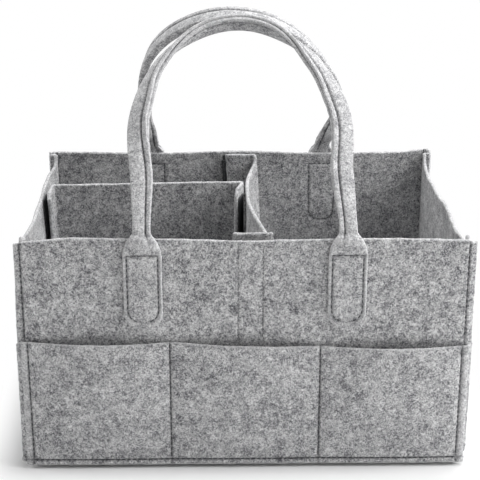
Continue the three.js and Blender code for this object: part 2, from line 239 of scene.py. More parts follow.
# Spun polyester sewing thread: two plies twisted together, dull and dark against the felt.
def spunThread():
    material, tree = newMaterial("spun polyester thread")
    place = addNode(tree, "ShaderNodeTexCoord").outputs["Object"]
    plySize = 0.8  # mm, coarser than the real twist so that it shows
    settings = {"Scale": 1 / (plySize * mm), "Detail": 1.0}
    twist = addNode(tree, "ShaderNodeTexNoise", settings, {"Vector": place}).outputs[0]
    ramp = addNode(tree, "ShaderNodeValToRGB", {}, {"Fac": twist})
    setStops(ramp, [(0.35, "#232427"), (0.65, "#45464a")])
    settings = {"Strength": 0.4, "Distance": 0.2 * mm}
    bump = addNode(tree, "ShaderNodeBump", settings, {"Height": twist}).outputs[0]
    settings = {"Roughness": 0.7, "Specular IOR Level": 0.3, "Sheen Weight": 0.1}
    links = {"Base Color": ramp.outputs["Color"], "Normal": bump}
    shader = addNode(tree, "ShaderNodeBsdfPrincipled", settings, links)
    addNode(tree, "ShaderNodeOutputMaterial", {}, {"Surface": shader.outputs[0]})
    return material


# Woven nylon hook tape: a tight ribbed ground with fine hooks, almost black and slightly shiny on the ribs.
def wovenHookTape():
    material, tree = newMaterial("woven nylon hook tape")
    place = addNode(tree, "ShaderNodeTexCoord").outputs["Object"]
    hookSize = 1.1  # mm between hooks
    settings = {"Scale": 1 / (hookSize * mm), "Randomness": 0.35}
    hooks = addNode(tree, "ShaderNodeTexVoronoi", settings, {"Vector": place}).outputs["Distance"]
    ramp = addNode(tree, "ShaderNodeValToRGB", {}, {"Fac": hooks})
    # near black, which also stands in as painted shade where the tapes reach into the gaps beside the flaps
    setStops(ramp, [(0.1, "#3d3e41"), (0.6, "#1f2022")])
    settings = {"Strength": 0.5, "Distance": 0.4 * mm, "invert": True}
    bump = addNode(tree, "ShaderNodeBump", settings, {"Height": hooks}).outputs[0]
    settings = {"Roughness": 0.55, "IOR": 1.53, "Specular IOR Level": 0.4}
    links = {"Base Color": ramp.outputs["Color"], "Normal": bump}
    shader = addNode(tree, "ShaderNodeBsdfPrincipled", settings, links)
    addNode(tree, "ShaderNodeOutputMaterial", {}, {"Surface": shader.outputs[0]})
    return material


panelFelt = needledFelt("needled felt panel", feltLook["panelStops"], 0.0)
# the handle felt is the panel felt painted lighter, for the light on the handles
handleFeltPaintedLight = needledFelt("needled felt handle painted lighter", feltLook["handleStopsPaintedLight"], 7.0)
threadMaterial = spunThread()
tapeMaterial = wovenHookTape()
print("materials made")


# Small shaping helpers
def smoothStep(x, low, high):
    t = np.clip((np.asarray(x, float) - low) / (high - low), 0, 1)
    return t * t * (3 - 2 * t)


# 0 below zero and x above it, eased over the reach on both sides
def softRamp(x, reach):
    return np.where(x > reach, x, np.clip(x + reach, 0, None) ** 2 / (4 * reach))


def easedCurve(x, knots, unit=mm):
    xs, ys = np.array(knots, float).T * unit
    x = np.clip(np.asarray(x, float), xs[0], xs[-1])
    k = np.clip(np.searchsorted(xs, x) - 1, 0, len(xs) - 2)
    t = smoothStep(x, xs[k], xs[k + 1])
    return ys[k] + (ys[k + 1] - ys[k]) * t


grids = {
    "edge": (0, 0.5, 1.5),                            # lines of points this far inside both ends
    "sewn": (-2.4, -1.3, -0.65, 0, 0.65, 1.3, 2.4),   # and this far beside a sewn line
    "room": 0.45,                                     # even steps nearer than this to those are left out
    "least": 0.15,
    "leastMixed": 0.12,                               # where a sheet has steep stretches too
}


def spaced(places, least):
    return places[np.concatenate(([True], np.diff(places) > least * mm))]


# Even steps from low to high, closer at both ends, beside each sewn line and within the fine stretches
def gridPlaces(low, high, step, lines=(), fine=()):
    places = np.linspace(low, high, max(2, round((high - low) / step)) + 1)
    for start, end, pitch in fine:
        places = np.concatenate([places[(places < start) | (places > end)], np.arange(start, end, pitch)])
    exact = [low + d * mm for d in grids["edge"]] + [high - d * mm for d in grids["edge"]]
    for line in lines:
        exact += [line + d * mm for d in grids["sewn"]]
    exact = [p for p in exact if low <= p <= high]
    loose = [p for p in places if min(abs(p - e) for e in exact) > grids["room"] * mm]
    return spaced(np.array(sorted(loose + exact)), grids["least"])


# The same steps as shares of the way from low to high
def gridShares(low, high, step, lines=(), fine=()):
    places = gridPlaces(low, high, step, lines, fine)
    return (places - places[0]) / (places[-1] - places[0])


# Path with rounded corners, none of which takes up more than most of a side
def roundedPath(corners, radius, steps=6, most=0.9):
    corners = [np.array(c, float) for c in corners]
    path = [corners[0]]
    for before, corner, after in zip(corners, corners[1:], corners[2:]):
        reach = min(radius, most * np.linalg.norm(before - corner), most * np.linalg.norm(after - corner))
        start = corner + (before - corner) / np.linalg.norm(before - corner) * reach
        end = corner + (after - corner) / np.linalg.norm(after - corner) * reach
        for t in np.linspace(0, 1, steps):
            path.append((1 - t) ** 2 * start + 2 * t * (1 - t) * corner + t * t * end)
    path.append(corners[-1])
    return np.array(path)


def bezier(points, t):
    a, b, c, d = (np.array(p, float) for p in points)
    t = np.asarray(t)[:, None]
    return (1 - t) ** 3 * a + 3 * t * (1 - t) ** 2 * b + 3 * t * t * (1 - t) * c + t ** 3 * d


def pathLength(path):
    return np.concatenate(([0], np.cumsum(np.linalg.norm(np.diff(path, axis=0), axis=1))))


def resample(path, distances):
    at = pathLength(path)
    return np.stack([np.interp(distances, at, path[:, k]) for k in range(path.shape[1])], axis=1)


# How far a row of stitches pulls the felt in, from 1 on the row to 0 beside it
def pulledIn(distance):
    return np.exp(-(np.asarray(distance) / stitchReach) ** 2)


# Superellipse dip in a top edge
def scoopDip(y, half, depth, power=3):
    share = np.minimum(np.abs(y) / half, 1)
    return depth * (1 - share ** power) ** (1 / power)


def addMesh(name, vertices, faces, material):
    mesh = bpy.data.meshes.new(name)
    mesh.from_pydata(np.asarray(vertices).tolist(), [], faces)
    mesh.materials.append(material)
    mesh.polygons.foreach_set("use_smooth", [True] * len(mesh.polygons))
    piece = bpy.data.objects.new(name, mesh)
    bpy.context.scene.collection.objects.link(piece)
    return piece


# Turns all faces outward, after points nearer than merge are made one
def fixNormals(piece, merge=0.0):
    work = bmesh.new()
    work.from_mesh(piece.data)
    if merge:
        bmesh.ops.remove_doubles(work, verts=work.verts, dist=merge)
    bmesh.ops.recalc_face_normals(work, faces=work.faces)
    work.to_mesh(piece.data)
    work.free()


# Where the felt is a cut edge, or gets a painted highlight in the cut edge's colour, and where shade is
# painted into the grooves that stitches pull in
def markFelt(piece, edge, grooveAndShade):
    for mark, shares in (("edge", edge), ("grooveAndShade", grooveAndShade)):
        attribute = piece.data.attributes.new(mark, "FLOAT", "POINT")
        attribute.data.foreach_set("value", np.asarray(shares, np.float32))


def unitVectors(vectors):
    return vectors / (np.linalg.norm(vectors, axis=-1, keepdims=True) + 1e-12)


# Closed felt sheet round a grid of middle points (columns, rows, 3), thinner along its grooves. Its cut edges
# are rounded and a little ragged. A sheet that wraps is joined from its last column to its first.
cutEdge = {
    "thin": 0.74,         # thickness at the faces' rims, as a share of the felt's
    "stand": 0.55,        # how far the edge's middle stands past the rims, as a share of half that thickness
    "rimRag": 0.12,
    "middleRag": 0.15,
    "rimPale": 0.8,       # how far the rims take the cut edge's colour
}


def feltSheet(name, mid, material, grooveAndShade=0.0, half=None, wraps=False, pale=0.0):
    columns, rows = mid.shape[:2]
    if wraps:
        ringed = np.concatenate([mid[-1:], mid, mid[:1]])
        along = unitVectors(np.gradient(ringed, axis=0)[1:-1])
    else:
        along = unitVectors(np.gradient(mid, axis=0))
    across = unitVectors(np.gradient(mid, axis=1))
    normal = unitVectors(np.cross(along, across))
    lines = [[(i, 0) for i in range(columns)], [(i, rows - 1) for i in reversed(range(columns))]]
    if not wraps:
        sides = [(columns - 1, j) for j in range(1, rows - 1)], [(0, j) for j in reversed(range(1, rows - 1))]
        lines = [lines[0] + sides[0] + lines[1] + sides[1]]
    outward = np.zeros_like(mid)
    outward[:, 0] -= across[:, 0]
    outward[:, -1] += across[:, -1]
    if not wraps:
        outward[0] -= along[0]
        outward[-1] += along[-1]
    onEdge = np.linalg.norm(outward, axis=2) > 0
    outward[onEdge] /= np.linalg.norm(outward[onEdge], axis=1, keepdims=True)
    grooveAndShade = np.clip(np.broadcast_to(grooveAndShade, (columns, rows)), 0, 1)
    half = felt / 2 - stitchDepth * grooveAndShade if half is None else np.broadcast_to(half, (columns, rows))
    half = half * np.where(onEdge, cutEdge["thin"], 1.0)
    rag = chance.normal(0, cutEdge["rimRag"] * mm, (columns, rows))
    ragged = np.where(onEdge, rag, 0)[..., None] * outward
    front = mid + normal * half[..., None] + ragged
    back = mid - normal * half[..., None] + ragged
    vertices = [front.reshape(-1, 3), back.reshape(-1, 3)]
    # Cut-edge colour on the rims, and wherever pale asks for it as a painted highlight; the groove shares
    # also paint shade into the grooves
    edges = [np.where(onEdge, cutEdge["rimPale"], np.broadcast_to(pale, (columns, rows))).ravel()] * 2
    grooves = [grooveAndShade.ravel()] * 2
    count = columns * rows
    faces = []
    for i in range(columns if wraps else columns - 1):
        n = (i + 1) % columns
        for j in range(rows - 1):
            quad = [i * rows + j, n * rows + j, n * rows + j + 1, i * rows + j + 1]
            faces.append(quad)
            faces.append([count + q for q in reversed(quad)])
    start = 2 * count
    for line in lines:
        middle = []
        for i, j in line:
            stand = cutEdge["stand"] * half[i, j] + chance.normal(0, cutEdge["middleRag"] * mm)
            middle.append(mid[i, j] + outward[i, j] * stand)
        vertices.append(np.array(middle))
        edges.append(np.ones(len(line)))
        grooves.append(np.zeros(len(line)))
        grid = [i * rows + j for i, j in line]
        for k in range(len(line)):
            n = (k + 1) % len(line)
            faces.append([grid[n], grid[k], start + k, start + n])
            faces.append([start + n, start + k, count + grid[k], count + grid[n]])
        start += len(line)
    piece = addMesh(name, np.concatenate(vertices), faces, material)
    markFelt(piece, np.concatenate(edges), np.concatenate(grooves))
    return piece


# Middle points of a sheet that stands on edge along a plan path. push is how far each point is moved to the
# right-hand side of the path, which is the outside of the caddy. A turned sheet faces the other way.
def standingSheet(path, distances, shares, bottom, top, push=None, turned=False):
    plan = resample(path, distances)
    along = np.gradient(plan, axis=0)
    along /= np.linalg.norm(along, axis=1, keepdims=True)
    out = np.stack([along[:, 1], -along[:, 0]], axis=1)
    z = bottom + shares[None, :] * (np.broadcast_to(top, len(plan))[:, None] - bottom)
    moved = np.zeros_like(z) if push is None else push(plan, z)
    mid = np.empty(z.shape + (3,))
    mid[..., :2] = plan[:, None] + out[:, None] * moved[..., None]
    mid[..., 2] = z
    if turned:
        mid[..., :2] *= -1
    return mid


def dress(piece, body, nodes):
    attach(piece, body)
    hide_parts(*nodes)


# Sway that both long walls share with what is sewn on them: outward only, and nothing at hem and corners
sway = {
    "out": 0.9,
    "waves": [(0.5, 34, 0.6), (0.4, 15, 1.9)],   # height, length over 2 pi, phase
    "still": (90, 150),                          # distances from the middle over which it dies out
    "highest": 1.1,                              # times the rim's height, above which it grows no more
}


def wallSway(x, z):
    lift = np.clip(z / rimZ, 0, sway["highest"]) ** 2
    start, end = sway["still"]
    corner = 1 - smoothStep(np.abs(x), start * mm, end * mm)
    waves = (height * np.sin(x / (length * mm) + phase) for height, length, phase in sway["waves"])
    return mm * lift * corner * sum(waves, sway["out"])


# How far the walls stand out below the stitches round the bottom
def hemFlare(z):
    return math.tan(math.radians(caddy["hemFlare"])) * softRamp(hemZ - z, caddy["hemBend"])


# Places on a long wall: u runs along the sheet from its middle, and out is how far the sheet's middle lies
# outside the panel's. Past the corner stitches the margin turns back, and may be stretched.
def longWallPlaces(u, z, out, stretch=1.0, turned=False):
    past = np.abs(u) - grooveX
    bend = caddy["marginBend"]
    turn = marginTilt * smoothStep(past, -bend, bend)
    margin = softRamp(past, bend)
    x = np.sign(u) * (np.abs(u) - margin + margin * stretch * marginWay[0] + out * np.sin(turn))
    y = -panelY + margin * stretch * marginWay[1] - out * np.cos(turn)
    places = np.stack(np.broadcast_arrays(x, y, z), axis=-1)
    if turned:
        places[..., :2] *= -1
    return places


# Threads: each stitch is a short strand that dips into the felt at both ends
stitch = {
    "pitch": 4.1,
    "length": 2.7,
    "thick": 0.8,
    "fine": 0.45,
    "sides": 6,
    # rings along a stitch: place between its ends, width as a share, and lift in half thicknesses
    "rings": [(-1, 0.45, -0.9), (-0.72, 0.95, 0), (0, 1, 0.3), (0.72, 0.95, 0), (1, 0.45, -0.9)],
}


def stitchRow(line, normals, thick):
    at = pathLength(line)
    count = max(1, int(at[-1] / (stitch["pitch"] * mm)))
    centres = (np.arange(count) + 0.5) * at[-1] / count
    half = stitch["length"] * mm / 2
    radius = thick * mm / 2
    sides = stitch["sides"]
    turns = np.linspace(0, 2 * math.pi, sides, endpoint=False)
    ringPlaces, widths, lifts = np.array(stitch["rings"], float).T
    vertices, faces = [], []
    for centre in centres:
        points = resample(line, np.clip(centre + ringPlaces * half, 0, at[-1]))
        k = int(np.clip(np.searchsorted(at, centre) - 1, 0, len(line) - 2))
        normal = normals[k] / np.linalg.norm(normals[k])
        side = np.cross(unitVectors(points[-1] - points[0]), normal)
        start = len(vertices)
        for point, width, lift in zip(points, widths, lifts):
            for turn in turns:
                outward = side * math.cos(turn) + normal * math.sin(turn)
                vertices.append(point + normal * lift * radius + outward * radius * width)
        last = len(vertices) - sides
        for ring in range(start, last, sides):
            for k in range(sides):
                a, b = ring + k, ring + (k + 1) % sides
                faces.append([a, b, b + sides, a + sides])
        faces.append([start + k for k in reversed(range(sides))])
        faces.append([last + k for k in range(sides)])
    return vertices, faces


def sewRows(name, rows):
    vertices, faces = [], []
    for line, normals, thick in rows:
        newVertices, newFaces = stitchRow(np.asarray(line, float), np.asarray(normals, float), thick)
        faces += [[len(vertices) + k for k in face] for face in newFaces]
        vertices += newVertices
    piece = addMesh(name, vertices, faces, threadMaterial)
    fixNormals(piece)
    return piece


# A row of stitches, in local places that a turned wall shares with the front one
def addRow(rows, points, normal, turned=False, thick=stitch["thick"]):
    line = np.array(points, float)
    normals = np.broadcast_to(np.array(normal, float), line.shape).copy()
    if turned:
        line[:, :2] *= -1
        normals[:, :2] *= -1
    rows.append((line, normals, thick))


boxRows = []     # rows of stitches that ride on the box
tapeShiftIntoShade = {    # how far a tape is sewn to the right of its plain place, and how much higher it ends; partly painted shade, as this carries the near-black tapes into the dark gaps beside the flaps
    "back_hook_strip": (-5.0, 4.0),
    "partition_left_hook_patch": (0.0, 14.0),
    "partition_right_hook_patch": (1.6, 14.0),
}


def tapeBox(node):
    low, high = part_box(node)
    across, up = tapeShiftIntoShade.get(node, (0, 0))
    return low + Vector((across, 0, 0)) * mm, high + Vector((across, 0, up)) * mm


# Base panel: the felt floor, with its edge turned up all round inside the walls
base = {
    "bend": 3.5,
    "corner": 6.0,
    "around": (44, 30, 4),    # points along a long side, a short side and a corner
    "floorRings": 18,
    "bendRings": 5,
    "lipRings": 5,
    "merge": 0.02,
}


def ringPoints(halfX, halfY, corner):
    sideX, sideY, turnSteps = base["around"]
    x = np.linspace(-1, 1, sideX) * (halfX - corner)
    y = np.linspace(-1, 1, sideY) * (halfY - corner)
    quarter = [
        (math.sin(t) * corner, (1 - math.cos(t)) * corner)
        for t in np.linspace(0, math.pi / 2, turnSteps + 2)[1:-1]
    ]
    points = [(a, -halfY) for a in x] + [(halfX - corner + a, -halfY + b) for a, b in quarter]
    points += [(halfX, b) for b in y] + [(halfX - b, halfY - corner + a) for a, b in quarter]
    return np.array(points + [(-a, -b) for a, b in points])


def makeBase():
    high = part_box("base_panel")[1]
    halfX, halfY = high.x - felt / 2, high.y - felt / 2
    bend, corner = base["bend"] * mm, base["corner"] * mm
    steps = [(inset, felt / 2) for inset in np.linspace(halfY, bend, base["floorRings"])]
    for turn in np.linspace(0, math.pi / 2, base["bendRings"])[1:]:
        steps.append((bend * (1 - math.sin(turn)), felt / 2 + bend * (1 - math.cos(turn))))
    steps += [(0, z) for z in np.linspace(felt / 2 + bend, high.z - edgeInset, base["lipRings"])[1:]]
    rings = []
    for inset, z in steps:
        ring = ringPoints(halfX - inset, halfY - inset, max(corner - inset, 0))
        rings.append(np.column_stack([ring, np.full(len(ring), z)]))
    piece = feltSheet("base_panel_felt", np.stack(rings, axis=1), panelFelt, wraps=True)
    fixNormals(piece, base["merge"] * mm)
    dress(piece, "box", ["base_panel"])


# Rounded rectangle of stitches that holds a handle's tab, round the tab's middle
tabStitches = {
    "front": (-74.5, 74.5),   # middles of the tabs
    "rear": (-78.6, 72.2),
    "half": 11.3,
    "top": 172.2,
    "bottom": 120.0,
    "corner": 11.0,
    "cornerSteps": 9,
    "points": 160,
}


def tabLoop():
    half, low, top, corner = (tabStitches[k] * mm for k in ("half", "bottom", "top", "corner"))
    corners = [(half, top), (half, low), (-half, low), (-half, top)]
    lower = roundedPath(corners, corner, tabStitches["cornerSteps"])
    loop = np.concatenate([[(0, top)], lower, [(0, top)]])
    return resample(loop, np.linspace(0, pathLength(loop)[-1], tabStitches["points"]))


# Distance of each place to the nearest point of a tab's stitches
def loopDistance(across, z):
    loop = tabLoop()
    return np.sqrt(((across[..., None] - loop[:, 0]) ** 2 + (z[..., None] - loop[:, 1]) ** 2).min(axis=-1))


# Front and back panels: flat sheets, with margins that stand out past the corner stitches. rim is the top
# edge's height past the frame's, and margins are the distances of the side edges from the middle, by height.
longWall = {
    "front": {
        "rim": [
            (-169, -3.0), (-158, -0.6), (-125, 2.0), (-60, 0.9),
            (0, -0.4), (92, 0.8), (158, -0.8), (169, -3.2),
        ],
        "margins": [[(0, 170.4), (103, 169.0), (183, 167.2)], [(0, 168.0), (103, 169.0), (183, 168.9)]],
    },
    "back": {
        "rim": [(-169, 2.8), (-138, -0.2), (-80, -1.0), (10, 0.8), (70, -0.6), (169, 1.2)],
        "margins": [[(0, 169.0), (183, 168.2)], [(0, 168.4), (183, 169.0)]],
    },
    "grid": 4.0,
    "fine": 1.3,
    "tabRoom": (2.5, 3.0),     # how far the fine grid reaches beside and above a tab's stitches
    # The tabs' and the strip's pulls also set how much shade is painted into those grooves
    "tabPull": 0.9,            # how deep the tabs' stitches pull the wall in, as a share
    "stripPull": 0.3,          # and the hook strip's
    "stripInset": 0.9,         # stitches inside the hook strip's edges
    "abovePocket": 6.0,        # where the stitches above the pockets start
    "belowRim": 4.0,           # where the corner stitches end
    "rowPoints": (30, 6, 8),   # points of the rows beside the hook strip, over it and down the corners
}


def makeLongWall(side, turned):
    sizes = longWall[side]
    low, high = tapeBox(f"{side}_hook_strip")
    sign = -1 if turned else 1
    inset = longWall["stripInset"] * mm
    strip = sorted(sign * x for x in (low.x + inset, high.x - inset))
    edge = grooveX + (caddy["seamX"] - edgeInset - grooveX) / marginWay[0]
    tabs = sorted(sign * x * mm for x in tabStitches["rear" if turned else "front"])
    step, fine = longWall["grid"] * mm, longWall["fine"] * mm
    beside, above = longWall["tabRoom"]
    reach = (tabStitches["half"] + beside) * mm
    tabColumns = [(tab - reach, tab + reach, fine) for tab in tabs]
    tabRows = [((tabStitches["bottom"] - above) * mm, (tabStitches["top"] + above) * mm, fine)]
    u = gridPlaces(-edge, edge, step, [-grooveX, grooveX] + strip, tabColumns)
    shares = gridShares(wallFoot, rimZ - edgeInset, step, [hemZ], tabRows)
    top = rimZ - edgeInset + easedCurve(u, sizes["rim"])
    z = wallFoot + shares * (top[:, None] - wallFoot)
    u = u[:, None]
    ends = np.where(u < 0, *[easedCurve(z, knots) for knots in sizes["margins"]])
    stretch = (ends - edgeInset - grooveX) / ((edge - grooveX) * marginWay[0])
    mid = longWallPlaces(u, z, wallSway(u, z) + hemFlare(z), stretch, turned)
    # grooves round the hem, the corners, the tabs and the strip, which also get painted shade
    grooveAndShade = np.maximum(pulledIn(z - hemZ), pulledIn(np.abs(u) - grooveX))
    for tab in tabs:
        grooveAndShade = np.maximum(grooveAndShade, longWall["tabPull"] * pulledIn(loopDistance(u - tab, z)))
    for x in strip:
        grooveAndShade = np.maximum(grooveAndShade, longWall["stripPull"] * pulledIn(u - x))
    piece = feltSheet(f"{side}_panel_felt", mid, panelFelt, grooveAndShade)
    dress(piece, "box", [f"{side}_panel"])

    # stitches: round the hook strip above the pockets, and down the corners
    def sew(u, z, out, thick):
        addRow(boxRows, longWallPlaces(u, z, out), (0, -1, 0), turned, thick)

    stripTop, bottom = high.z - inset, caddy["pocketZ"] + longWall["abovePocket"] * mm
    skin = felt / 2 - tapeSink
    upPoints, overPoints, cornerPoints = longWall["rowPoints"]
    heights = np.linspace(bottom, stripTop, upPoints)
    for x in strip:
        sew(x, heights, skin + wallSway(x, heights), stitch["fine"])
    across = np.linspace(*strip, overPoints)
    sew(across, stripTop, skin + wallSway(across, stripTop), stitch["fine"])
    heights = np.linspace(bottom, rimZ - longWall["belowRim"] * mm, cornerPoints)
    for corner in (-1, 1):
        sew(corner * grooveX, heights, felt / 2 - threadSink, stitch["thick"])


# Plan path of an end sheet, so many layers behind the long wall in the corner seams. Its side edges turn
# outward there, past its corners, by the margin.
def endSheetPath(x, layers, margin):
    behind = np.array([grooveX, -panelY]) + layers * layer * marginBack
    corner = behind + marginWay * (x - behind[0]) / marginWay[0]
    edge = corner + marginWay * margin
    ends = [edge, corner, corner * (1, -1), edge * (1, -1)]
    return roundedPath(ends, caddy["bend"])


# End panels, scooped along the top
endWall = {
    "scoop": 16.0,
    "scoopHalf": 106.0,
    "grid": 4.0,
    "margin": 6.0,
    "steep": (0.05, 0.3, 0.7, 1.3, 2.2, 3.4, 5, 7.5),   # extra columns inside the ends of the scoop
    "bends": (12.0, 13),                                # length of each end's even columns, and their count
    "cornerDrop": 4.5,                                  # how far the front margins are cut lower than the rim
    "dropOver": (4.0, 9.0),                             # distances from their edge over which that ends
    # how far the top edge bows outward, from the panel's left-hand end to its right one as seen from outside
    "bow": {
        "right": [
            (-106, 0), (-88, 3.4), (-76, 3.5), (-50, 2.1), (-28, 3.5), (0, 4.7),
            (17, 4.9), (33, 2.6), (56, 1.8), (80, 0.4), (106, 0),
        ],
        "left": [
            (-106, 0), (-86, 5.2), (-67, 6.4), (-37, 5.1), (-6, 4.8),
            (24, 3.4), (54, 4.8), (71, 6.0), (88, 4.6), (106, 0),
        ],
    },
}


# Outward bow of an end, in the places of the right end, that its pocket shares
def endBow(side, y, z):
    return easedCurve(y, endWall["bow"][side]) * np.clip(z / rimZ, 0, 1) ** 2


def makeEndWall(side, turned):
    path = endSheetPath(endX, 1, endWall["margin"] * mm)
    total = pathLength(path)[-1]
    half, step = endWall["scoopHalf"] * mm, endWall["grid"] * mm
    steep = [total / 2 - half + d * mm for d in endWall["steep"]]
    stretch, count = endWall["bends"]
    distances = np.concatenate([gridPlaces(0, total, step), steep, np.linspace(0, stretch * mm, count)])
    distances = spaced(np.unique(np.concatenate([distances, total - distances])), grids["leastMixed"])
    shares = gridShares(wallFoot, rimZ - edgeInset, step, [hemZ])
    top = rimZ - edgeInset - scoopDip(distances - total / 2, half, endWall["scoop"] * mm)
    toFront = total - distances if turned else distances
    start, end = endWall["dropOver"]
    top -= endWall["cornerDrop"] * mm * (1 - smoothStep(toFront, start * mm, end * mm))

    def push(plan, z):
        return hemFlare(z) + endBow(side, plan[:, 1:], z)

    mid = standingSheet(path, distances, shares, wallFoot, top, push, turned)
    # the groove round the hem also gets painted shade
    piece = feltSheet(f"{side}_end_panel_felt", mid, panelFelt, pulledIn(mid[..., 2] - hemZ))
    dress(piece, "box", [f"{side}_end_panel"])


# Outside pockets: one sheet a side, sewn down at the corners and between the pockets, and slack at the mouth.
# edges are the distances of the side edges from the middle, and mouth is the top edge's height.
pockets = {
    "front": {
        "seams": [-160.5, -55.8, 55.8, 161.0],
        "edges": [-164.4, 165.4],
        "swell": [6.4, 5.6, 6.4],
        "mouth": [(-168, 104.6), (-56, 104.1), (0, 102.8), (36, 101.2), (56, 100.4), (168, 99.6)],
    },
    "back": {
        "seams": [-161.0, -55.8, 55.8, 161.0],
        "edges": [-165.4, 165.4],
        "swell": [4.4, 2.8, 3.8],
        "mouth": [(-168, 99.6), (-50, 100.4), (60, 99.8), (168, 101.0)],
    },
    "left": {
        "seams": [-103.4, 0, 103.4],
        "swell": [4.2, 5.0],
        "mouth": [(-123, 97.5), (0, 96.8), (123, 97.2)],
    },
    "right": {
        "seams": [-103.4, 0, 103.4],
        "swell": [5.2, 4.0],
        "mouth": [(-123, 97.0), (0, 97.4), (123, 96.8)],
    },
    "fullness": 0.9,          # lower numbers make a pocket's swell flatter in the middle
    "endMargin": 5.6,
    "endFine": (9.0, 0.9),    # length of the finer columns at an end pocket's first edge, and their step
    "marginHighlight": 0.6,        # painted highlight: how far the margins past the corner stitches are painted with the cut edge's pale colour, for light on their turned-back faces
    "seamFoot": 9.0,          # where the stitches between the pockets start
    "seamShort": 1.5,         # and how far below the mouth they end
    "seamPoints": 24,
    "hemPoints": (90, 60),    # points of the hem stitches, on a long pocket and on an end pocket
    "grid": 4.0,
}


def pocketSwell(distance, z, sizes):
    seams = np.array(sizes["seams"]) * mm
    mouth = easedCurve(distance, sizes["mouth"])
    k = np.clip(np.searchsorted(seams, distance) - 1, 0, len(seams) - 2)
    across = np.clip((distance - seams[k]) / (seams[k + 1] - seams[k]), 0, 1)
    swell = np.array(sizes["swell"])[k] * mm
    height = np.sin(np.clip(z / mouth, 0, 1) * math.pi / 2)
    return swell * np.sin(math.pi * across) ** pockets["fullness"] * height


# Rows of a pocket's grid as shares of its own height
def pocketShares(sizes):
    mean = np.mean([z for x, z in sizes["mouth"]]) * mm - edgeInset
    return gridShares(wallFoot, mean, pockets["grid"] * mm, [hemZ])


# Heights of the stitches up a seam between two pockets
def seamHeights(place, sizes):
    mouth = float(easedCurve(place, sizes["mouth"]))
    return np.linspace(pockets["seamFoot"] * mm, mouth - pockets["seamShort"] * mm, pockets["seamPoints"])


def makeLongPocket(side, turned):
    sizes = pockets[side]
    seams = [s * mm for s in sizes["seams"]]
    low, high = (grooveX + (abs(e) * mm - edgeInset - grooveX) / marginWay[0] for e in sizes["edges"])
    u = gridPlaces(-low, high, pockets["grid"] * mm, seams)
    top = easedCurve(u, sizes["mouth"]) - edgeInset
    z = wallFoot + pocketShares(sizes) * (top[:, None] - wallFoot)

    def out(u, z):
        return layer + pocketSwell(u, z, sizes) + wallSway(u, z) + hemFlare(z)

    # grooves round the hem and between the pockets, which also get painted shade
    grooveAndShade = pulledIn(z - hemZ)
    for s in seams:
        grooveAndShade = np.maximum(grooveAndShade, pulledIn(u[:, None] - s))
    mid = longWallPlaces(u[:, None], z, out(u[:, None], z), 1.0, turned)
    # painted highlight: the margins past the corner seams take the cut edge's pale colour, for the light on
    # their turned-back faces
    margin = np.where((u < seams[0]) | (u > seams[-1]), pockets["marginHighlight"], 0.0)
    piece = feltSheet(f"{side}_pocket_felt", mid, panelFelt, grooveAndShade, pale=margin[:, None])
    dress(piece, "box", [f"{side}_pocket_panel"])
    # hem, and the seams between the pockets and at the corners
    skin = felt / 2 - threadSink
    across = np.linspace(seams[0], seams[-1], pockets["hemPoints"][0])
    addRow(boxRows, longWallPlaces(across, hemZ, out(across, hemZ) + skin), (0, -1, 0), turned)
    for s in seams:
        heights = seamHeights(s, sizes)
        addRow(boxRows, longWallPlaces(s, heights, out(s, heights) + skin), (0, -1, 0), turned)


def makeEndPocket(side, turned):
    sizes = pockets[side]
    face = endX + layer
    path = endSheetPath(face, 2, pockets["endMargin"] * mm)
    total = pathLength(path)[-1]
    seams = [s * mm for s in sizes["seams"]]
    lines = [total / 2 + s for s in seams]
    fineEnd, fineStep = pockets["endFine"]
    distances = gridPlaces(0, total, pockets["grid"] * mm, lines, [(0, fineEnd * mm, fineStep * mm)])
    reach = distances - total / 2
    top = easedCurve(reach, sizes["mouth"]) - edgeInset

    def push(plan, z):
        swell = pocketSwell(np.broadcast_to(reach[:, None], z.shape), z, sizes)
        return swell + hemFlare(z) + endBow(side, plan[:, 1:], z)

    mid = standingSheet(path, distances, pocketShares(sizes), wallFoot, top, push, turned)
    # grooves round the hem and up the middle seam, which also get painted shade
    grooveAndShade = np.maximum(pulledIn(mid[..., 2] - hemZ), pulledIn(reach[:, None]))
    piece = feltSheet(f"{side}_pocket_felt", mid, panelFelt, grooveAndShade)
    dress(piece, "box", [f"{side}_pocket_panel"])
    # hem, and the seam between the two pockets
    skin = face + felt / 2 - threadSink
    hemOut = skin + float(hemFlare(hemZ))
    across = np.linspace(seams[0], seams[-1], pockets["hemPoints"][1])
    swell = pocketSwell(across, hemZ, sizes)
    addRow(boxRows, [(hemOut + w, y, hemZ) for y, w in zip(across, swell)], (1, 0, 0), turned)
    heights = seamHeights(0, sizes)
    addRow(boxRows, [(skin + float(endBow(side, 0, h)), 0, h) for h in heights], (1, 0, 0), turned)


makeBase()
makeLongWall("front", False)
makeLongWall("back", True)
makeEndWall("right", False)
makeEndWall("left", True)
print("walls made")
makeLongPocket("front", False)
makeLongPocket("back", True)
makeEndPocket("right", False)
makeEndPocket("left", True)
print("pockets made")


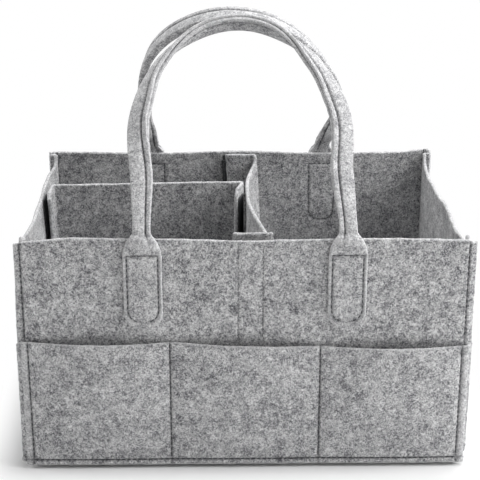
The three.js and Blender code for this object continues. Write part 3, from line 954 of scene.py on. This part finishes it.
# Handles: one strip each. It lies flat on the wall at both ends, and between them it is folded in half
# lengthwise, with the fold on the outside of the arch and its two raw edges sewn together on the inside.
# Each arch leans a little and its band turns on the way to the crown, so left and right differ.
handle = {
    "stripWidth": 31.0,        # measured round the fold
    "tabTop": 169.0,           # where the strip starts to leave the wall
    "tabBottom": 114.2,
    "tabCorner": 12.5,
    "tabHalf": 14.0,
    "tabStep": 1.25,
    "roundSteps": (0, 0.03, 0.09, 0.2, 0.34, 0.5, 0.68, 0.84),   # rings up a tab's round corners, as shares
    "neckY": 121.0,
    "neckZ": 186.0,
    "neckLength": 12.0,
    "wallPull": (0, -0.4, 9),  # how the neck's curve leaves the wall
    "legPull": 10,             # and how far before the leg it takes the leg's direction
    "neckSteps": 24,
    "neckShare": 0.78,         # width of the folded strip at the neck, as a share of its width above
    "wideBy": 50.0,            # where up the leg it has its full width
    "legLength": 62.0,
    "archX": 74.5,
    "shiftOver": (0.25, 0.9),  # shares of the way to the crown over which an arch's shift comes in
    "foldFrom": 171.5,         # heights between which the strip folds up
    "foldTo": 188.5,
    "bulge": 4.0,              # how far the strip bellies out where it folds up
    "bulgeHalf": 13.0,
    "bulgeEarly": 1.15,        # how much sooner the belly is over than the folding
    "narrow": (0.55, 0.8),     # below this share of its width a tab's end is thinned to this share
    "rag": 0.12,
    "foldHighlight": 0.42,            # painted highlight: how much paler the outer face is painted where the strip folds up, for the light on it
    "foldHighlightSoon": 3,           # times that this comes in faster than the folding
    "shadedFrom": 0.5,         # share of the folding from which shade is painted along the band's stitches
    "sewnFrom": 0.8,           # and from which they show
    "blend": (-7, 9),          # heights past the neck's fold line between which the strip bends
    "step": 3.2,
    "archSteps": 96,
    # Along each arch, from -1 at the left neck over 0 at the crown to 1 at the right neck: twist is the
    # band's turn in degrees, and drift is how far it lies outside a plain arch.
    "front": {
        "rise": 105.7,
        "spread": (0.5, -3.4),
        "spreadBy": 62.0,
        "shift": -3.3,
        "lean": 39.26,
        "twist": [
            (-0.93, 0), (-0.65, 7), (-0.4, 34), (-0.2, 59), (0, 92),
            (0.2, 44), (0.4, 22), (0.65, 15), (0.93, 0),
        ],
        "drift": [(-0.75, 0), (-0.4, 4.6), (-0.15, 6.8), (0.15, 6.6), (0.4, 5.8), (0.7, 0)],
    },
    "rear": {
        "rise": 115.5,
        "spread": (8.0, 9.0),
        "spreadBy": 45.0,
        "shift": -9.0,
        "lean": 39.3,
        "twist": [(-0.93, 0), (-0.8, 66), (-0.5, 80), (-0.2, 80), (0, 75), (0.3, 70), (0.8, 66), (0.93, 0)],
        "drift": [(-0.8, 0), (-0.45, -1.5), (-0.2, -0.8), (0.1, 0)],
    },
}

# The strip's section, out of the arch and out of the face, flat on the wall and folded. Round the section:
# outer face, raw edges with the slit between them, inner face, fold.
band = {
    "faceSteps": 27,
    "faceFlat": (13.3, -13.3),
    "faceFold": (7.6, -7.8),
    "flatHalf": 1.5,           # half the thickness, flat and folded
    "foldHalf": 2.75,
    "stitches": -3.9,          # row of stitches across the folded face
    "pullDepth": 1.5,
    "pullReach": 0.8,
    "swell": 0.65,             # how much the folded band swells between the stitches and the fold
    "swellTo": 8.2,
    "slitFlat": [
        (-13.8, 1.05), (-14.05, 0.65), (-14.15, 0.3), (-14.2, 0),
        (-14.15, -0.3), (-14.05, -0.65), (-13.8, -1.05),
    ],
    "slitFold": [
        (-8.25, 2.2), (-8.35, 1.2), (-7.8, 0.45), (-3.5, 0),
        (-7.8, -0.45), (-8.35, -1.2), (-8.25, -2.2),
    ],
    "foldFlat": [(13.8, -1.05), (14.1, -0.5), (14.2, 0), (14.1, 0.5), (13.8, 1.05)],
    "foldFold": [(7.95, -1.7), (8.3, -0.9), (8.4, 0), (8.3, 0.9), (7.95, 1.7)],
    "rimHighlight": (0.8, 0.7, 0.5, 0.2),   # painted highlight: how far the cut edge's colour is painted into a face, point by point, for light on its rounded rims
}
faceSteps = band["faceSteps"]
faceFlat = np.linspace(*band["faceFlat"], faceSteps)
faceFold = np.linspace(*band["faceFold"], faceSteps)
stitchIndex = int(np.abs(faceFold - band["stitches"]).argmin())
stitchAcross = faceFold[stitchIndex]
bandPull = np.exp(-((faceFold - stitchAcross) / band["pullReach"]) ** 2)
bandSwell = np.sin(np.clip((faceFold - stitchAcross) / (band["swellTo"] - stitchAcross), 0, 1) * math.pi)
bandOut = np.where(faceFold > stitchAcross, band["foldHalf"] + band["swell"] * bandSwell, band["foldHalf"])
bandOut -= band["pullDepth"] * bandPull
flatOut = np.full(faceSteps, band["flatHalf"])
rimHighlight = np.array(band["rimHighlight"])
slitEnd = faceSteps + len(band["slitFlat"])
backEnd = slitEnd + faceSteps


def sectionPoints(across, out, slit, fold):
    front = np.column_stack([across, out])
    back = front[::-1] * (1, -1)
    return np.concatenate([front, slit, back, fold]) * mm


flatSection = sectionPoints(faceFlat, flatOut, band["slitFlat"], band["foldFlat"])
foldedSection = sectionPoints(faceFold, bandOut, band["slitFold"], band["foldFold"])
# painted shade along the band's rows of stitches, on both faces
bandShade = np.concatenate([
    bandPull, np.zeros(len(band["slitFlat"])), bandPull[::-1], np.zeros(len(band["foldFlat"])),
])


# Rings along a handle, from its left tab to its right one: centre, direction out of the arch, direction out
# of the face, how far the strip is folded, and how wide its flat and folded sections are
def handleRings(side):
    sizes = handle[side]
    lean = math.radians(sizes["lean"])
    leanWay = np.array([0, math.sin(lean), math.cos(lean)])
    leanOut = np.array([0, -math.cos(lean), math.sin(lean)])
    neck = np.array([0, -handle["neckY"], handle["neckZ"]]) * mm
    neckLength, leg, rise = handle["neckLength"] * mm, handle["legLength"] * mm, sizes["rise"] * mm
    neckShare, step = handle["neckShare"], handle["step"] * mm
    tabY = -(panelY + layer)
    low, high = handle["tabBottom"] * mm + edgeInset, handle["tabTop"] * mm
    corner = handle["tabCorner"] * mm
    rounded = low + corner * np.array(handle["roundSteps"])

    def turned(out, face, degrees):
        turn = math.radians(degrees)
        return out * math.cos(turn) - face * math.sin(turn), face * math.cos(turn) + out * math.sin(turn)

    def legX(way, s):
        tab, spread = tabStitches[side][way > 0] * mm, sizes["spread"][way > 0] * mm
        arch = way * (handle["archX"] * mm + spread)
        return tab + (arch - tab) * float(smoothStep(s, 0, sizes["spreadBy"] * mm))

    # tab on the wall, then the neck: from the wall over the rim to the leaning leg
    def lowerRings(way):
        tab = tabStitches[side][way > 0] * mm
        wallX = -tab if side == "rear" else tab
        sideways = np.array([way, 0.0, 0.0])
        rings = []
        for z in np.concatenate([rounded, np.arange(low + corner, high, handle["tabStep"] * mm)]):
            drop = max(0, corner - (z - low))
            width = 1 - (corner - math.sqrt(max(corner ** 2 - drop ** 2, 0))) / (handle["tabHalf"] * mm)
            spot = np.array([tab, tabY - float(wallSway(wallX, z)), z])
            rings.append((spot, sideways, np.array([0, -1.0, 0]), 0.0, width, 1.0))
        start = rings[-1][0] * (0, 1, 1)
        end = neck + leanWay * neckLength
        pulls = start + np.array(handle["wallPull"]) * mm, end - leanWay * handle["legPull"] * mm
        places = np.linspace(0, 1, handle["neckSteps"])[1:]
        for t, point in zip(places, bezier((start, *pulls, end), places)):
            u = 1 - t
            slope = u ** 2 * (pulls[0] - start) + 2 * t * u * (pulls[1] - pulls[0]) + t * t * (end - pulls[1])
            slope /= np.linalg.norm(slope)
            point = point + np.array([legX(way, (point - neck) @ leanWay), 0, 0])
            upFold = (point[2] / mm - handle["foldFrom"]) / (handle["foldTo"] - handle["foldFrom"])
            folded = min(max(upFold, 0), 1) ** 2
            rings.append((point, sideways, np.array([0, -slope[2], slope[1]]), folded, 1.0, neckShare))
        return rings

    # legs and arch, in the leaning plane
    left, right = (handle["archX"] * mm + s * mm for s in sizes["spread"])
    legPlaces = np.arange(neckLength + step, leg - step / 2, step)
    plane = [(legX(-1, s), s, math.pi) for s in legPlaces]
    for turn in np.linspace(math.pi, 0, handle["archSteps"]):
        reach = left if turn > math.pi / 2 else right
        plane.append((reach * math.cos(turn), leg + rise * math.sin(turn), turn))
    plane += [(legX(1, s), s, 0.0) for s in reversed(legPlaces)]
    crown = leg + rise
    shiftFrom, shiftTo = handle["shiftOver"]
    arch = []
    for x, s, turn in plane:
        away = np.array([math.cos(turn) * rise, math.sin(turn) * (left if x < 0 else right)])
        away /= np.linalg.norm(away)
        plain = np.array([away[0], 0, 0]) + leanWay * away[1]
        along = s / crown - 1 if x < 0 else 1 - s / crown
        out, face = turned(plain, leanOut, float(easedCurve(along, sizes["twist"], 1)))
        shift = sizes["shift"] * mm * float(smoothStep(s, shiftFrom * crown, shiftTo * crown))
        drift = float(easedCurve(along, sizes["drift"], 1)) * mm
        centre = neck + np.array([x + shift, 0, 0]) + leanWay * s + plain * drift
        share = neckShare + (1 - neckShare) * float(smoothStep(s, neckLength, handle["wideBy"] * mm))
        arch.append((centre, out, face, 1.0, 1.0, share))
    return lowerRings(-1) + arch + lowerRings(1)[::-1]


def makeHandle(side):
    rings = handleRings(side)
    count = len(flatSection)
    grid = np.empty((len(rings), count, 3))
    grooveAndShade = np.zeros((len(rings), count))
    edge = np.zeros((len(rings), count))
    reach = len(rimHighlight)
    thinBelow, thinned = handle["narrow"]
    for i, (centre, out, face, folded, width, share) in enumerate(rings):
        flat = flatSection * (width, 1.0 if width > thinBelow else thinned)
        pulled = np.zeros(count)
        pulled[:faceSteps] = pulledIn(loopDistance(flat[:faceSteps, 0], np.full(faceSteps, centre[2])))
        flat[:, 1] -= stitchDepth * pulled
        section = flat + (foldedSection * (share, 1.0) - flat) * folded
        belly = handle["bulge"] * mm * math.sin(math.pi * min(folded * handle["bulgeEarly"], 1))
        belly = belly * np.clip(1 - (section[:, 0] / (handle["bulgeHalf"] * mm)) ** 2, 0, 1)
        section[:, 1] += np.where(section[:, 1] > 0, belly, 0)
        ragged = np.zeros(count)
        ragged[faceSteps - 1:slitEnd + 1] = chance.normal(0, handle["rag"] * mm)
        grid[i] = centre + out * (section[:, :1] + ragged[:, None]) + face * section[:, 1:]
        # painted shade: round the tabs' stitches while flat, and along the band's stitches once folded
        bandShadeShare = float(smoothStep(folded, handle["shadedFrom"], 1))
        grooveAndShade[i] = np.maximum(pulled * (1 - folded), bandShade * bandShadeShare)
        # painted highlight on the folded outer face, and on the rims beside the cut edges below
        edge[i, :faceSteps] = handle["foldHighlight"] * min(1, handle["foldHighlightSoon"] * folded)
        edge[i, faceSteps:slitEnd] = 1
        edge[i, backEnd:] = 1 - folded
        # painted highlight on the rounded rims of the faces
        edge[i, :reach] = np.maximum(edge[i, :reach], rimHighlight * (1 - folded))
        edge[i, faceSteps - reach:faceSteps] = np.maximum(edge[i, faceSteps - reach:faceSteps], rimHighlight[::-1])
        edge[i, slitEnd:slitEnd + reach] = rimHighlight
    edge[[0, -1]] = 1
    mirror = np.array([1, -1 if side == "rear" else 1, 1])
    grid *= mirror
    faces = []
    for i in range(len(grid) - 1):
        for k in range(count):
            n = (k + 1) % count
            faces.append([i * count + k, i * count + n, (i + 1) * count + n, (i + 1) * count + k])
    last = (len(grid) - 1) * count
    faces.append(list(range(count)))
    faces.append([last + k for k in reversed(range(count))])
    piece = addMesh(f"{side}_handle_felt", grid.reshape(-1, 3), faces, handleFeltPaintedLight)
    fixNormals(piece)
    markFelt(piece, edge.ravel(), grooveAndShade.ravel())
    # stitches: along the band on both faces, and round each tab, through to the wall's inside
    rows = []
    bandRings = [i for i, ring in enumerate(rings) if ring[3] > handle["sewnFrom"]]
    for index, way in ((stitchIndex, 1), (backEnd - 1 - stitchIndex, -1)):
        normals = np.array([way * rings[i][2] for i in bandRings]) * mirror
        rows.append((grid[bandRings, index], normals, stitch["thick"]))
    loop = tabLoop()
    for tab in tabStitches[side]:
        x = tab * mm + loop[:, 0]
        skin = -(panelY + layer + felt / 2 - threadSink) - wallSway(tab * mm * mirror[1], loop[:, 1])
        addRow(rows, np.column_stack([x, skin, loop[:, 1]]) * mirror, np.array([0, -1, 0]) * mirror)
        inside = -(caddy["innerY"] + threadSink) - wallSway(x * mirror[1], loop[:, 1])
        addRow(boxRows, np.column_stack([x, inside, loop[:, 1]]) * mirror, np.array([0, 1, 0]) * mirror)
    threads = sewRows(f"{side}_handle_stitches", rows)
    for part in (piece, threads):
        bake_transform(part)
    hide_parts(f"{side}_handle_left_tab", f"{side}_handle_right_tab", f"{side}_handle_loop")


makeHandle("front")
makeHandle("rear")
print("handles made")


# Rectangle of stitches just inside a tape's edges, seen on the far side of the felt it is sewn to
tapeStitches = {"inset": 1.6, "points": 12}


def frameStitches(rows, across, heights, place, normal):
    inset = tapeStitches["inset"] * mm
    u0, u1 = across[0] + inset, across[1] - inset
    z0, z1 = heights[0] + inset, heights[1] - inset
    corners = [(u0, z0), (u0, z1), (u1, z1), (u1, z0), (u0, z0)]
    for start, end in zip(corners, corners[1:]):
        addRow(rows, [place(u, z) for u, z in np.linspace(start, end, tapeStitches["points"])], normal)


# Cross divider: a bowed sheet from front to back, with a flap folded to the left at each end
divider = {
    "frontX": 19.6,
    "rearX": 19.0,
    "bowFrontX": 23.6,
    "bowRearX": -15.0,
    "bowSteps": 90,
    "frontFlap": 30.2,
    "rearFlap": 27.6,
    "foldLine": 4.0,                           # extra columns this far outside the bow's ends
    "scoop": 16.0,
    "steep": (0.05, 0.5, 1.2, 2.2, 3.6, 5.5),  # extra columns inside the ends of the scoop
    "grid": 3.5,
    "frontLean": 8.0,                          # how far the top of the front flap stands back from the wall
    "frontLeanOver": (60, 105),                # distances from the middle over which that comes in
    "rearLean": 6.4,                           # how far the top of the rear end stands to the left
    "rearLeanOver": (40, 105),
}


def leanedDivider(places):
    places = np.array(places, float)
    y, height = places[..., 1], np.clip(places[..., 2] / rimZ, 0, 1) ** 2
    rearFrom, rearTo = divider["rearLeanOver"]
    frontFrom, frontTo = divider["frontLeanOver"]
    places[..., 0] -= divider["rearLean"] * mm * height * smoothStep(y, rearFrom * mm, rearTo * mm)
    places[..., 1] += divider["frontLean"] * mm * height * smoothStep(-y, frontFrom * mm, frontTo * mm)
    return places


def makeDivider():
    low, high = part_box("cross_divider")
    bottom, topZ, step = low.z + edgeInset, high.z - edgeInset, divider["grid"] * mm
    flapY = high.y - felt / 2
    bowY = flapY - caddy["bend"]
    frontX, rearX = divider["frontX"] * mm, divider["rearX"] * mm
    frontTip = frontX + felt / 2 - divider["frontFlap"] * mm + edgeInset
    rearTip = rearX + felt / 2 - divider["rearFlap"] * mm + edgeInset
    pulls = (divider["bowFrontX"] * mm, -bowY / 3), (divider["bowRearX"] * mm, bowY / 3)
    bow = bezier([(frontX, -bowY), *pulls, (rearX, bowY)], np.linspace(0, 1, divider["bowSteps"]))
    front = roundedPath([(frontTip, -flapY), (frontX, -flapY), (frontX, -bowY)], caddy["bend"])
    rear = roundedPath([(rearX, bowY), (rearX, flapY), (rearTip, flapY)], caddy["bend"])
    path = np.concatenate([front[:-2], bow, rear[2:]])
    at = pathLength(path)
    total = at[-1]
    bowStart, bowEnd = at[len(front) - 2], at[len(front) - 2 + len(bow) - 1]
    lines = [bowStart - divider["foldLine"] * mm, bowEnd + divider["foldLine"] * mm]
    steep = np.array(divider["steep"]) * mm
    distances = np.concatenate([gridPlaces(0, total, step, lines), bowStart + steep, bowEnd - steep])
    distances = spaced(np.unique(distances), grids["leastMixed"])
    plan = resample(path, distances)
    onBow = (distances > bowStart) & (distances < bowEnd)
    top = topZ - np.where(onBow, scoopDip(plan[:, 1], bowY, divider["scoop"] * mm), 0)
    mid = leanedDivider(standingSheet(path, distances, gridShares(bottom, topZ, step), bottom, top))
    piece = feltSheet("cross_divider_felt", mid, panelFelt)
    dress(piece, "divider", ["cross_divider"])
    rows = []
    for node, side in (("divider_front_loop_strip", -1), ("divider_back_loop_strip", 1)):
        stripLow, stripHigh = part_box(node)
        y = side * (flapY - felt / 2 + tapeSink)
        frameStitches(rows, (stripLow.x, stripHigh.x), (stripLow.z, stripHigh.z),
                      lambda u, z: leanedDivider((u, y, z)), (0, -side, 0))
    threads = sewRows("divider_stitches", rows)
    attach(threads, "divider")


# Partition: a shorter sheet across the left half, both end flaps folded forward
partition = {
    "flap": 26.0,
    "corner": 5.0,
    "splay": 14.0,
    "y": 53.0,
    "rightX": 1.0,
    "grid": 3.5,
    "slope": 2.0,             # how much higher the top is at its right end
    "reach": 4.0,             # how far the top of the left end leans out with the bowed end panel
    "patchReach": 6.6,        # and how far its patch does, which sticks to that panel
    "reachOver": (60, 150),   # distances from the middle over which that comes in
}


def leanedLeft(places, reach=partition["reach"]):
    places = np.array(places, float)
    start, end = partition["reachOver"]
    share = smoothStep(-places[..., 0], start * mm, end * mm) * np.clip(places[..., 2] / rimZ, 0, 1) ** 2
    places[..., 0] -= reach * mm * share
    return places


def makePartition():
    low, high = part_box("partition")
    bottom, topZ, step = low.z + edgeInset, high.z - edgeInset, partition["grid"] * mm
    leftX, y = low.x + felt / 2, partition["y"] * mm
    rightX, flap = partition["rightX"] * mm, partition["flap"] * mm - edgeInset
    splay = math.radians(partition["splay"])
    splayWay = np.array([-math.sin(splay), -math.cos(splay)])
    flapOut = np.array([math.cos(splay), -math.sin(splay)])
    rightFold = np.array([rightX, y])
    path = roundedPath([(leftX, y - flap), (leftX, y), rightFold, rightFold + splayWay * flap], caddy["bend"])
    total = pathLength(path)[-1]
    corner = partition["corner"] * mm
    lines = [corner, total - corner, flap, total - flap]
    distances = gridPlaces(0, total, step, lines)
    ends = np.minimum(distances, total - distances)
    top = topZ - np.clip(corner - ends, 0, None)
    top += partition["slope"] * mm * smoothStep(distances, flap, total - flap)
    mid = leanedLeft(standingSheet(path, distances, gridShares(bottom, topZ, step), bottom, top))
    piece = feltSheet("partition_felt", mid, panelFelt)
    dress(piece, "short_partition", ["partition"])
    patchLow, patchHigh = tapeBox("partition_left_hook_patch")
    across, heights = (patchLow.y, patchHigh.y), (patchLow.z, patchHigh.z)
    skin = felt / 2 - tapeSink

    def onLeftFlap(u, z):
        return leanedLeft((leftX + skin, u, z))

    def onRightFlap(u, z):
        return (*(rightFold + splayWay * (y - u) - flapOut * skin), z)

    rows = []
    frameStitches(rows, across, heights, onLeftFlap, (1, 0, 0))
    frameStitches(rows, across, heights, onRightFlap, (-flapOut[0], -flapOut[1], 0))
    threads = sewRows("partition_stitches", rows)
    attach(threads, "short_partition")


makeDivider()
makePartition()
print("divider and partition made")


# Hook-and-loop tapes: thin woven slabs, flat at their edges and ribbed along the middle
tape = {
    "ribs": 1.8,
    "selvedge": 1.5,
    "selvedgeEase": 0.6,
    "inset": 0.3,                  # the rounded cut edges stand this far past the grid
    "step": 2.0,
    "fineStep": 0.45,
    "depths": (0.55, 0.2, 0.25),   # shares of the thickness: selvedge, more inside it, more on the ribs
}


def makeTape(node, body, turn, width, thick):
    low, high = tapeBox(node)
    centre = np.array((low + high) / 2)
    length = high.z - low.z
    along = np.array([math.cos(turn), math.sin(turn), 0])
    halfWidth, halfLength = width / 2 - tape["inset"] * mm, length / 2 - tape["inset"] * mm
    us = gridPlaces(-halfWidth, halfWidth, tape["fineStep"] * mm)
    zs = gridPlaces(-halfLength, halfLength, tape["step"] * mm)
    mid = centre + us[:, None, None] * along + zs[None, :, None] * np.array([0, 0, 1.0])
    if body == "divider":
        mid = leanedDivider(mid)
    if node == "partition_left_hook_patch":
        mid = leanedLeft(mid, partition["patchReach"])
    selvedge = tape["selvedge"] * mm
    inside = smoothStep(width / 2 - np.abs(us), selvedge, selvedge + tape["selvedgeEase"] * mm)
    ribs = 0.5 + 0.5 * np.cos(us * 2 * math.pi / (tape["ribs"] * mm))
    edge, middle, onRibs = tape["depths"]
    half = thick / 2 * (edge + inside * (middle + onRibs * ribs))
    piece = feltSheet(node + "_tape", mid, tapeMaterial, half=half[:, None])
    dress(piece, body, [node])


stripLow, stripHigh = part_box("front_hook_strip")
patchLow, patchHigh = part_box("partition_left_hook_patch")
tapeThick = stripHigh.y - stripLow.y
stripWidth, patchWidth = stripHigh.x - stripLow.x, patchHigh.y - patchLow.y
for node, body, turn, width in (
    ("front_hook_strip", "box", 0, stripWidth),
    ("back_hook_strip", "box", 0, stripWidth),
    ("divider_front_loop_strip", "divider", 0, stripWidth),
    ("divider_back_loop_strip", "divider", 0, stripWidth),
    ("partition_left_hook_patch", "short_partition", 90, patchWidth),
    ("partition_right_hook_patch", "short_partition", 90 - partition["splay"], patchWidth),
):
    makeTape(node, body, math.radians(turn), width, tapeThick)
boxThreads = sewRows("box_stitches", boxRows)
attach(boxThreads, "box")
print("tapes and stitches made")


# Studio: a pale floor that throws light up, a wide lamp overhead, a soft box on each side, the right one
# stronger, and a weak lamp low in front. All in metres.
studio = {
    "floor": "#f4f4f4",
    "floorReach": 6.0,
    "floorZ": -0.0002,
    "fade": (0.001, 0.036),    # distances from the caddy's foot over which the floor turns plain white
    "world": 0.06,
    "aim": (0, 0, 0.12),
    "lamps": {
        "over": {"energy": 23, "size": 1.3, "place": (0.3, 0.45, 1.4)},
        "right": {"energy": 22, "size": 0.95, "place": (1.3, -0.3, 0.9)},
        "left": {"energy": 10, "size": 0.95, "place": (-1.3, 0.0, 0.86)},
        "front": {"energy": 5, "size": 1.0, "place": (0.6, -1.6, 0.35)},
    },
}


# 1 for rays that show a surface itself, or its mirror image, and 0 for rays that light other things
def shownRays(tree):
    rays = addNode(tree, "ShaderNodeLightPath")
    shown = rays.outputs["Is Camera Ray"]
    for name in ("Is Glossy Ray", "Is Transmission Ray"):
        links = {0: shown, 1: rays.outputs[name]}
        shown = addNode(tree, "ShaderNodeMath", {"operation": "MAXIMUM"}, links).outputs[0]
    return shown


def makeWorld():
    world = bpy.data.worlds.new("studio")
    bpy.context.scene.world = world
    world.use_nodes = True
    tree = world.node_tree
    tree.nodes.clear()
    settings = {"operation": "MULTIPLY_ADD", 1: 1 - studio["world"], 2: studio["world"]}
    strength = addNode(tree, "ShaderNodeMath", settings, {0: shownRays(tree)}).outputs[0]
    sky = addNode(tree, "ShaderNodeBackground", {"Color": (1, 1, 1, 1)}, {"Strength": strength})
    addNode(tree, "ShaderNodeOutputWorld", {}, {"Surface": sky.outputs[0]})


def makeLamps():
    for name, sizes in studio["lamps"].items():
        light = bpy.data.lights.new(name, "AREA")
        light.energy = sizes["energy"]
        light.size = sizes["size"]
        lamp = bpy.data.objects.new(name, light)
        lamp.location = sizes["place"]
        lamp.rotation_euler = (Vector(studio["aim"]) - lamp.location).to_track_quat("-Z", "Y").to_euler()
        bpy.context.scene.collection.objects.link(lamp)


# Matt white paper: even and without gloss. Away from the caddy it fades to plain white.
def mattPaper():
    material, tree = newMaterial("matt white paper")
    away = addNode(tree, "ShaderNodeTexCoord").outputs["Object"]
    foot = (caddy["seamX"], panelY + layer, 1)
    for settings in (
        {"operation": "ABSOLUTE"},
        {"operation": "SUBTRACT", 1: foot},
        {"operation": "MAXIMUM", 1: (0, 0, 0)},
    ):
        away = addNode(tree, "ShaderNodeVectorMath", settings, {0: away}).outputs[0]
    away = addNode(tree, "ShaderNodeVectorMath", {"operation": "LENGTH"}, {0: away}).outputs["Value"]
    near, far = studio["fade"]
    settings = {1: near, 2: far, 3: 0.0, 4: 1.0, "interpolation_type": "SMOOTHSTEP"}
    fade = addNode(tree, "ShaderNodeMapRange", settings, {0: away}).outputs[0]
    links = {0: fade, 1: shownRays(tree)}
    share = addNode(tree, "ShaderNodeMath", {"operation": "MULTIPLY"}, links).outputs[0]
    matt = addNode(tree, "ShaderNodeBsdfDiffuse", {"Color": hexColor(studio["floor"])})
    white = addNode(tree, "ShaderNodeEmission", {"Color": (1, 1, 1, 1), "Strength": 1.0})
    mix = addNode(tree, "ShaderNodeMixShader", {}, {0: share, 1: matt.outputs[0], 2: white.outputs[0]})
    addNode(tree, "ShaderNodeOutputMaterial", {}, {"Surface": mix.outputs[0]})
    return material


def makeFloor():
    reach = studio["floorReach"]
    corners = [(-reach, -reach, 0), (reach, -reach, 0), (reach, reach, 0), (-reach, reach, 0)]
    floor = addMesh("floor", corners, [[0, 1, 2, 3]], mattPaper())
    floor.location.z = studio["floorZ"]


makeWorld()
makeLamps()
makeFloor()
bpy.context.view_layer.update()
print("studio made")
